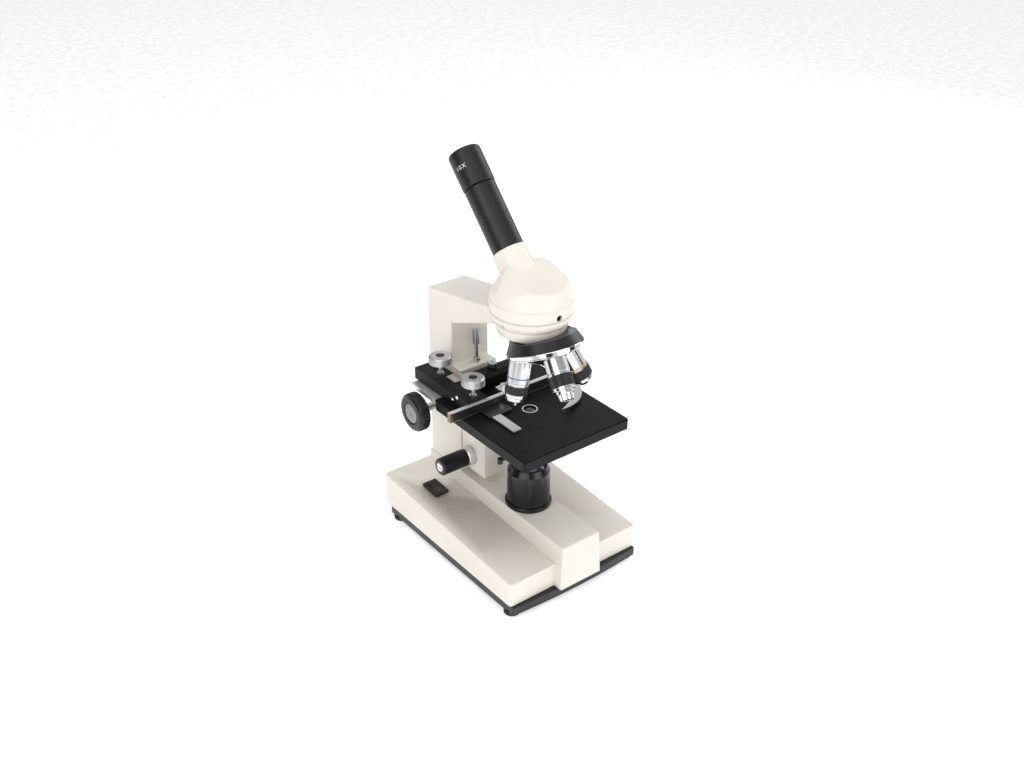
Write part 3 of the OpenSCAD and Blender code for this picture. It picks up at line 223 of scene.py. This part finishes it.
def smooth(obj, angle=30):
    obj.data.shade_smooth()
    obj.data.set_sharp_from_angle(angle=math.radians(angle))


def lathe(name, profile, mat, at=None, segs=96, closed=False, angle=30):
    """A turned piece from (radius, height) pairs in mm, with its axis along z."""
    verts, faces, rows = [], [], []
    for r, z in profile:
        if r < 1e-6:
            rows.append([len(verts)])
            verts.append((0, 0, z))
        else:
            rows.append(list(range(len(verts), len(verts) + segs)))
            verts += [(r * math.cos(2 * math.pi * i / segs), r * math.sin(2 * math.pi * i / segs), z)
                      for i in range(segs)]
    pairs = list(zip(rows, rows[1:])) + ([(rows[-1], rows[0])] if closed else [])
    for a, b in pairs:
        for i in range(segs):
            j = (i + 1) % segs
            if len(a) == 1 and len(b) == 1:
                continue
            if len(a) == 1:
                faces.append((a[0], b[i], b[j]))
            elif len(b) == 1:
                faces.append((a[i], b[0], a[j]))
            else:
                faces.append((a[i], b[i], b[j], a[j]))
    obj = new_object(name, verts, faces, mat, angle)
    if at is not None:
        obj.data.transform(at)
    return obj


def place(x=0, y=0, z=0, rx=0, ry=0, rz=0):
    return (Matrix.Translation(Vector((x, y, z)) * MM) @ Matrix.Rotation(math.radians(rz), 4, "Z")
            @ Matrix.Rotation(math.radians(ry), 4, "Y") @ Matrix.Rotation(math.radians(rx), 4, "X"))


def prism_x(name, outline, half, mat, x0=None):
    """A solid with the given (y, z) outline, extruded along x."""
    lo, hi = (-half, half) if x0 is None else x0
    n = len(outline)
    verts = [(lo, y, z) for y, z in outline] + [(hi, y, z) for y, z in outline]
    faces = [tuple(range(n)), tuple(range(2 * n - 1, n - 1, -1))]
    faces += [(i, (i + 1) % n, n + (i + 1) % n, n + i) for i in range(n)]
    return new_object(name, verts, faces, mat)


def slab(name, low, high, mat):
    (x0, y0, z0), (x1, y1, z1) = low, high
    return prism_x(name, [(y0, z0), (y1, z0), (y1, z1), (y0, z1)], 0, mat, (x0, x1))


def apply_all(obj):
    """Bakes the modifiers into the mesh."""
    graph = bpy.context.evaluated_depsgraph_get()
    mesh = bpy.data.meshes.new_from_object(obj.evaluated_get(graph))
    obj.modifiers.clear()
    obj.data = mesh
    return obj


def bevel(obj, width, segments=3, angle=30, bake=False):
    mod = obj.modifiers.new("edge", "BEVEL")
    mod.width = width * MM
    mod.segments = segments
    mod.limit_method = "ANGLE"
    mod.angle_limit = math.radians(angle)
    mod.harden_normals = True
    return apply_all(obj) if bake else obj


def cut(obj, *tools):
    for tool in tools:
        mod = obj.modifiers.new("cut", "BOOLEAN")
        mod.operation = "DIFFERENCE"
        mod.solver = "EXACT"
        mod.object = tool
    apply_all(obj)
    for tool in tools:
        bpy.data.objects.remove(tool)
    return obj


def join(name, parts, mat):
    """One mesh made of several, kept as separate shells."""
    bm = bmesh.new()
    for part in parts:
        bm.from_mesh(part.data)
        bpy.data.objects.remove(part)
    mesh = bpy.data.meshes.new(name)
    bm.to_mesh(mesh)
    bm.free()
    obj = bpy.data.objects.new(name, mesh)
    bpy.context.collection.objects.link(obj)
    mesh.materials.clear()
    mesh.materials.append(mat)
    return obj


def ride(obj, body, slot, *replaced):
    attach(obj, body)
    if replaced:
        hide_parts(*replaced)
    return obj


# ---------------------------------------------------------------- carried-over CAD nodes

for node, mat in FINISH.items():
    data = NODES[node].data
    data.materials.clear()
    data.materials.append(mat)

for node, width in {
    "base_plate": 0.8, "carriage": 1.3, "stage_plate": 0.5, "clamp_beam": 0.7, "y_block": 0.6,
    "rack_plate": 0.4, "slide_bar": 0.25, "holder_plate": 0.25, "fixed_finger": 0.25,
    "y_scale_rail": 0.3, "vernier_plate": 0.15, "switch_housing": 0.4, "power_inlet": 0.5,
    "spring_finger": 0.3, "fine_block": 0.5,
}.items():
    bevel(NODES[node], width, 2, 35)

# ---------------------------------------------------------------- base

BASE_X, BASE_Y = 73.0, 100.0
SHELL_Z = 12.0


def wing_z(y):
    return 36.0 + (y + BASE_Y) * 10.0 / 200.0


def base_wings():
    ring = []
    r = 3.0
    for sx, sy, a0 in ((1, 1, 0), (-1, 1, 90), (-1, -1, 180), (1, -1, 270)):
        for i in range(7):
            a = math.radians(a0 + 15 * i)
            ring.append((sx * (BASE_X - r) + r * math.cos(a), sy * (BASE_Y - r) + r * math.sin(a)))
    n = len(ring)
    verts = [(x, y, SHELL_Z) for x, y in ring] + [(x, y, wing_z(y)) for x, y in ring]
    faces = [tuple(range(n)), tuple(range(n, 2 * n))]
    faces += [(i, (i + 1) % n, n + (i + 1) % n, n + i) for i in range(n)]
    obj = new_object("base_wings", verts, faces, IVORY)
    bevel(obj, 1.1, 4, 40, bake=True)
    well = slab("well", (-52.5, 41, 20), (-40.5, 61, 60), IVORY)
    inlet = slab("inlet", (33.5, 78, 19.5), (54.5, 112, 34.5), IVORY)
    return cut(obj, well, inlet)


def base_block():
    """The raised middle, drafted at its sides and nose, with a round-edged top."""
    rows = []
    for y, half_low, half_top, top in ((-109.4, 23.4, 21.2, 56.2), (-101, 23.5, 21.4, 56.9),
                                       (95.9, 23.5, 21.5, 57.0)):
        rows.append([(-half_low, y, SHELL_Z), (-half_top, y, top), (half_top, y, top),
                     (half_low, y, SHELL_Z)])
    rows[0] = [(x, y + (1.6 if z > 40 else 0), z) for x, y, z in rows[0]]
    verts = [v for row in rows for v in row]
    faces = [(0, 1, 2, 3), (11, 10, 9, 8)]
    for k in range(2):
        a, b = 4 * k, 4 * k + 4
        faces += [(a + i, a + (i + 1) % 4, b + (i + 1) % 4, b + i) for i in range(4)]
    obj = new_object("base_block", verts, faces, IVORY)
    return bevel(obj, 1.1, 4, 25, bake=True)


wings = ride(base_wings(), "stand", "ivory_paint", "base_shell")
block = ride(base_block(), "stand", "ivory_paint")

# ---------------------------------------------------------------- arm


def arm_casting():
    outline = [(93, 57), (93, 234), (3.8, 249), (-20.6, 249), (-20.6, 236.8), (-8.6, 236.8),
               (56.3, 210.5), (56.3, 167.3), (43.8, 167.3), (43.8, 57)]
    arm = bevel(prism_x("arm_beam", outline, 21, IVORY), 1.6, 5, 20, bake=True)
    socket = lathe("socket", [(0, 229), (30.2, 229), (30.2, 262), (0, 262)], IVORY, place(y=OPTIC_Y))
    slot = slab("slot", (-5, 40, 78), (5, 59.3, 161), IVORY)
    return cut(arm, socket, slot)


ring_profile = [
    (14.0, 235.9), (28.6, 235.9), (29.4, 236.1), (30.0, 236.7), (31.4, 244.2), (31.3, 244.9),
    (30.9, 245.2), (30.9, 245.7), (32.3, 246.0), (33.4, 246.8), (35.2, 250.0), (35.9, 251.6),
    (36.3, 254.0), (36.1, 255.0), (35.7, 255.4), (25.0, 255.4), (25.0, 247.5), (14.0, 247.5),
]
arm = ride(arm_casting(), "stand", "ivory_paint", "arm")
ring = lathe("arm_ring", ring_profile, IVORY, place(y=OPTIC_Y), 128, closed=True, angle=50)
recess = lathe("recess", [(0, 26), (2.1, 26), (2.1, 45), (0, 45)], IVORY,
               place(y=OPTIC_Y, z=250, ry=-90, rz=8.5), 48)
ride(cut(ring, recess), "stand", "ivory_paint")
smooth(ring, 50)

# ---------------------------------------------------------------- head

FOLD = place(y=OPTIC_Y, z=263, rx=47 - 90)
TUBE_START = 46.5


def convex(name, points, mat):
    bm = bmesh.new()
    for p in points:
        bm.verts.new(Vector(p) * MM)
    bmesh.ops.convex_hull(bm, input=bm.verts)
    mesh = bpy.data.meshes.new(name)
    bm.to_mesh(mesh)
    bm.free()
    obj = bpy.data.objects.new(name, mesh)
    bpy.context.collection.objects.link(obj)
    mesh.materials.append(mat)
    return obj


def roof_z(y):
    return 283.1 + (y + 54.2) * 0.272


def head_shell():
    """A cone over the turning joint, cut by a sloping roof with straight creases at its sides."""
    points = []
    for i in range(120):
        a = 2 * math.pi * i / 120
        c, s = math.cos(a), math.sin(a)
        points.append((35.9 * c, OPTIC_Y + 35.9 * s, 267.3))
        top = 33.4 if s < 0.2 else 34.4
        points.append((top * c, OPTIC_Y + top * s, 275.5 if s < 0.2 else 272.5))
    for i in range(-12, 13):
        x = i * 23 / 12
        y = OPTIC_Y - math.sqrt(31.6 ** 2 - x * x)
        points.append((x, y, roof_z(y)))
    for x in (-23, 23):
        points += [(x, -24.4, roof_z(-24.4)), (x * 0.75, -18, roof_z(-22))]
    body = convex("head_body", points, IVORY)
    boss = lathe("head_boss", [(0, 10), (15.4, 10), (15.6, 30), (15.4, 38),
                               (14.95, TUBE_START), (0, TUBE_START)], IVORY, FOLD)
    skirt = lathe("head_skirt", [(0, 256.6), (36.4, 256.6), (36.4, 266.7), (36.0, 267.4), (0, 268)],
                  IVORY, place(y=OPTIC_Y))
    shell = join("head_shell", [body, boss, skirt], IVORY)
    mod = shell.modifiers.new("skin", "REMESH")
    mod.mode = "VOXEL"
    mod.voxel_size = 0.0006
    mod.use_smooth_shade = True
    relax = shell.modifiers.new("relax", "SMOOTH")
    relax.factor = 0.5
    relax.iterations = 5
    apply_all(shell)
    bm = bmesh.new()
    bm.from_mesh(shell.data)
    for v in bm.verts:
        v.co.z = max(v.co.z, 0.2564)
    bm.to_mesh(shell.data)
    bm.free()
    shell.data.materials.clear()
    shell.data.materials.append(IVORY)
    hole = lathe("hole", [(0, 30), (2.9, 30), (2.9, 45), (0, 45)], IVORY,
                 place(y=OPTIC_Y, z=259.5, rx=90), 48)
    groove = lathe("groove", [(35.9, 266.75), (38, 266.75), (38, 267.25), (35.9, 267.25)], IVORY,
                   place(y=OPTIC_Y), 128, closed=True)
    cut(shell, hole, groove)
    smooth(shell, 40)
    return shell


head = ride(head_shell(), "head", "ivory_paint", "head_housing")
skirt_lip = ride(lathe("head_lip", [
    (24.9, 248.1), (24.9, 255.8), (35.6, 255.8), (36.1, 256.0), (36.3, 256.3), (36.3, 256.6),
    (30.0, 256.6), (30.0, 256.5), (20.0, 256.5), (20.0, 248.1)], IVORY, place(y=OPTIC_Y), 128,
    closed=True), "head", "ivory_paint")

# ---------------------------------------------------------------- nosepiece

NOSE_TILT = 21.4
NOSE = place(y=OPTIC_Y, z=275, rx=-NOSE_TILT)
SEAT = 64.0


def objective(k, turn=37.5):
    return NOSE @ Matrix.Rotation(math.radians(turn + 120 * k), 4, "Z") @ Matrix.Rotation(
        math.radians(NOSE_TILT), 4, "X")


def band(name, k, d, r, width, mat, slot="chrome"):
    """A thin ring round an objective."""
    low, high = -SEAT - d - width, -SEAT - d
    profile = [(r - 0.6, high), (r, high), (r + 0.14, high - 0.2), (r + 0.14, low + 0.2), (r, low),
               (r - 0.6, low)]
    return ride(lathe(name, profile, mat, objective(k), 72), "nosepiece", slot)


def ribbed(name, r, top, bottom, ribs, depth, mat, at):
    """A sleeve with straight ribs along its axis and chamfered ends."""
    rows = [(-0.3, top), (0, top - 0.3), (0, bottom + 0.3), (-0.3, bottom)]
    n = 4 * ribs
    verts = []
    for inset, z in rows:
        for i in range(n):
            a = 2 * math.pi * i / n
            rad = r + inset + (depth if i % 4 in (0, 1) else 0)
            verts.append((rad * math.cos(a), rad * math.sin(a), z))
    faces = [tuple(range(n)), tuple(range(3 * n, 4 * n))]
    for k in range(3):
        faces += [(k * n + i, k * n + (i + 1) % n, (k + 1) * n + (i + 1) % n, (k + 1) * n + i)
                  for i in range(n)]
    obj = new_object(name, verts, faces, mat, 20)
    obj.data.transform(at)
    return obj


band("ring_40x", 0, 15.4, 9.72, 0.9, BLUE)
band("ring_10x", 2, 18.9, 9.72, 1.3, YELLOW)

for k, (name, start, length, r) in enumerate((("40x", 22.4, 8.5, 9.82), ("4x", 14.3, 11, 9.92),
                                              ("10x", 21.5, 10, 9.92))):
    top = -SEAT - start - 0.2
    ride(ribbed("grip_" + name, r, top, top - length + 0.4, 48, 0.22, BLACK, objective(k)),
         "nosepiece", "black_paint")

# ---------------------------------------------------------------- stage details

KNOB_X = -38.5
for body, y in (("y_drive", 49.3), ("x_drive", -0.6)):
    disc = lathe("recess_" + body, [(0, 186.05), (3.9, 186.05), (3.9, 186.3), (3.2, 186.35), (0, 186.2)],
                 GLOSS_BLACK, place(KNOB_X, y), 48)
    ride(disc, body, "black_plastic")

ride(lathe("condenser_rim", [(5.9, 155.95), (7.15, 155.95), (7.15, 156.15), (5.9, 156.15)], CHROME,
           place(y=OPTIC_Y), 72, closed=True), "stage", "chrome")
for name, y, z in (("block_screw_back", 14.3, 161.4), ("block_screw_front", 7.2, 166.6)):
    ride(lathe(name, [(0, -0.4), (1.9, -0.4), (1.9, 0.2), (1.5, 0.6), (0, 0.75)], CHROME,
               place(-50.5, y, z, ry=-90), 48), "y_carriage", "chrome")


def ticks(name, body, marks, mat, slot):
    """Engraved lines, each a thin slab given by its lowest and highest corner."""
    parts = [slab("tick", low, high, mat) for low, high in marks]
    return ride(join(name, parts, mat), body, slot)


# painted shade: a thin dark sheet on the slide bar's front face makes that side darker than its top
ride(slab("bar_face", (-68.6, -12.62, 157.9), (59.9, -12.45, 166.1), SHADED_FACE_METAL), "slide_holder",
     "aluminium")
ride(slab("bar_end", (-71.85, -12.64, 157.7), (-68.6, -8.45, 166.5), BRONZE), "slide_holder",
     "brass")
bar_marks = []
for i in range(76):
    reach = 2.6 if i % 10 == 0 else 2.0 if i % 5 == 0 else 1.3
    bar_marks.append(((-32 + i - 0.12, -12.3, 166.56), (-32 + i + 0.12, -12.3 + reach, 166.63)))
ticks("bar_ticks", "slide_holder", bar_marks, DARK_INK, "black_plastic")
rail_marks = []
for i in range(29):
    reach = 4.4 if i % 10 == 0 else 3.4 if i % 5 == 0 else 2.2
    rail_marks.append(((-28.2, 32 + i - 0.12, 167.56), (-28.2 + reach, 32 + i + 0.12, 167.63)))
ticks("rail_ticks", "stage", rail_marks, DARK_INK, "black_plastic")
plate_marks = []
for i in range(10):
    reach = 4.0 if i in (0, 9) else 2.4
    plate_marks.append(((-30.1 - reach, 29.6 + i - 0.1, 168.66), (-30.1, 29.6 + i + 0.1, 168.73)))
ticks("vernier_ticks", "y_carriage", plate_marks, DARK_INK, "black_plastic")
collar_marks = []
for i in range(50):
    mark = slab("tick", (0.4, -0.1, 9.16), (4.6 if i % 5 == 0 else 3.0, 0.1, 9.23), DARK_INK)
    for side in (-1, 1):
        copy = bpy.data.objects.new("tick", mark.data.copy())
        copy.data.transform(Matrix.Rotation(math.radians(i * 7.2), 4, "X"))
        if side < 0:
            copy.data.transform(Matrix.Rotation(math.pi, 4, "Z"))
        copy.data.transform(place(side * 19.5, 29, 83.5))
        collar_marks.append(copy)
    bpy.data.objects.remove(mark)
ride(join("collar_ticks", collar_marks, DARK_INK), "carriage", "black_plastic")

# ---------------------------------------------------------------- eyepiece marks


def tube_mark(text, size, along, around):
    """A generic magnification mark, wrapped round the eyepiece."""
    curve = bpy.data.curves.new("mark", "FONT")
    curve.body = text
    curve.size = size * MM
    curve.extrude = 0.00002
    curve.align_x = "CENTER"
    curve.align_y = "CENTER"
    curve.space_character = 1.25
    source = bpy.data.objects.new("mark", curve)
    bpy.context.collection.objects.link(source)
    graph = bpy.context.evaluated_depsgraph_get()
    mesh = bpy.data.meshes.new_from_object(source.evaluated_get(graph))
    bpy.data.objects.remove(source)
    bm = bmesh.new()
    bm.from_mesh(mesh)
    bmesh.ops.subdivide_edges(bm, edges=bm.edges, cuts=2)
    radius = 14.64
    for v in bm.verts:
        a = math.radians(around) + v.co.x / MM / radius
        r = (radius + v.co.z / MM) * MM
        v.co = Vector((r * math.cos(a), r * math.sin(a), along * MM + v.co.y))
    bmesh.ops.transform(bm, matrix=FOLD, verts=bm.verts)
    bm.to_mesh(mesh)
    bm.free()
    obj = bpy.data.objects.new("power_mark", mesh)
    bpy.context.collection.objects.link(obj)
    mesh.materials.append(INK)
    return ride(obj, "eyepiece", "scale_metal")


tube_mark("10X", 5.4, 124.8, -157)

# ---------------------------------------------------------------- camera, light, floor

floor_mat = plastic("floor", (0.9, 0.9, 0.9), 0.9, 0.0, 40)
floor_mat.node_tree.nodes["Principled BSDF"].inputs["Emission Color"].default_value = (1, 1, 1, 1)
floor_mat.node_tree.nodes["Principled BSDF"].inputs["Emission Strength"].default_value = 0.45
floor = new_object("floor", [(-3000, -3000, 0), (3000, -3000, 0), (3000, 3000, 0), (-3000, 3000, 0)],
                   [(0, 1, 2, 3)], floor_mat)


def area(name, at, look, size, power, color=(1, 1, 1)):
    lamp = bpy.data.lights.new(name, "AREA")
    lamp.shape = "RECTANGLE"
    lamp.size, lamp.size_y = size
    lamp.energy = power
    lamp.color = color
    obj = bpy.data.objects.new(name, lamp)
    obj.location = at
    obj.rotation_euler = (Vector(look) - Vector(at)).to_track_quat("-Z", "Y").to_euler()
    bpy.context.collection.objects.link(obj)
    return obj


area("key", (-1.35, -0.75, 0.95), (0, 0, 0.15), (1.6, 1.6), 12.5, (1.0, 0.99, 0.97))
area("top", (-0.1, 0.1, 1.7), (0, 0, 0.1), (1.4, 1.4), 8.5)
area("front", (0.35, -1.4, 0.7), (0, 0, 0.15), (1.0, 1.0), 6.5)
area("right", (1.4, 0.1, 0.8), (0, 0, 0.15), (0.8, 1.0), 5)

world = bpy.data.worlds.new("studio")
world.use_nodes = True
sky = world.node_tree
coord = sky.nodes.new("ShaderNodeTexCoord")
split = sky.nodes.new("ShaderNodeSeparateXYZ")
sky.links.new(coord.outputs["Generated"], split.inputs[0])
turn = sky.nodes.new("ShaderNodeMath")
turn.operation = "ARCTAN2"
sky.links.new(split.outputs["Y"], turn.inputs[0])
sky.links.new(split.outputs["X"], turn.inputs[1])
stripes = sky.nodes.new("ShaderNodeMath")
stripes.operation = "SINE"
times = sky.nodes.new("ShaderNodeMath")
times.operation = "MULTIPLY_ADD"
times.inputs[1].default_value = 5.0
times.inputs[2].default_value = 3.3
sky.links.new(turn.outputs[0], times.inputs[0])
sky.links.new(times.outputs[0], stripes.inputs[0])
panels = sky.nodes.new("ShaderNodeMapRange")
panels.inputs["From Min"].default_value = -0.25
panels.inputs["From Max"].default_value = 0.35
panels.inputs["To Min"].default_value = 0.06
panels.inputs["To Max"].default_value = 1.5
sky.links.new(stripes.outputs[0], panels.inputs["Value"])
height = sky.nodes.new("ShaderNodeMapRange")
height.inputs["From Min"].default_value = 0.15
height.inputs["From Max"].default_value = 0.75
sky.links.new(split.outputs["Z"], height.inputs["Value"])
blend = sky.nodes.new("ShaderNodeMix")
sky.links.new(height.outputs[0], blend.inputs["Factor"])
sky.links.new(panels.outputs[0], blend.inputs["A"])
blend.inputs["B"].default_value = 0.9
sky.links.new(blend.outputs["Result"], sky.nodes["Background"].inputs["Color"])
sky.nodes["Background"].inputs["Strength"].default_value = 0.56
bpy.context.scene.world = world
bpy.context.scene.view_settings.view_transform = "Standard"

azimuth, elevation, roll = math.radians(-38.2), math.radians(29.9), math.radians(0.5)
back = Vector((math.sin(azimuth) * math.cos(elevation), -math.cos(azimuth) * math.cos(elevation),
               math.sin(elevation)))
right = Vector((0, 0, 1)).cross(back).normalized()
up = back.cross(right)
right, up = (right * math.cos(roll) + up * math.sin(roll), up * math.cos(roll) - right * math.sin(roll))
cam_data = bpy.data.cameras.new("camera")
cam_data.lens = 41.46
cam_data.sensor_width = 36
cam_data.clip_start = 0.01
camera = bpy.data.objects.new("camera", cam_data)
camera.matrix_world = Matrix((
    (right.x, up.x, back.x, -0.5644), (right.y, up.y, back.y, -0.7240),
    (right.z, up.z, back.z, 0.6942), (0, 0, 0, 1)))
bpy.context.collection.objects.link(camera)
bpy.context.scene.camera = camera
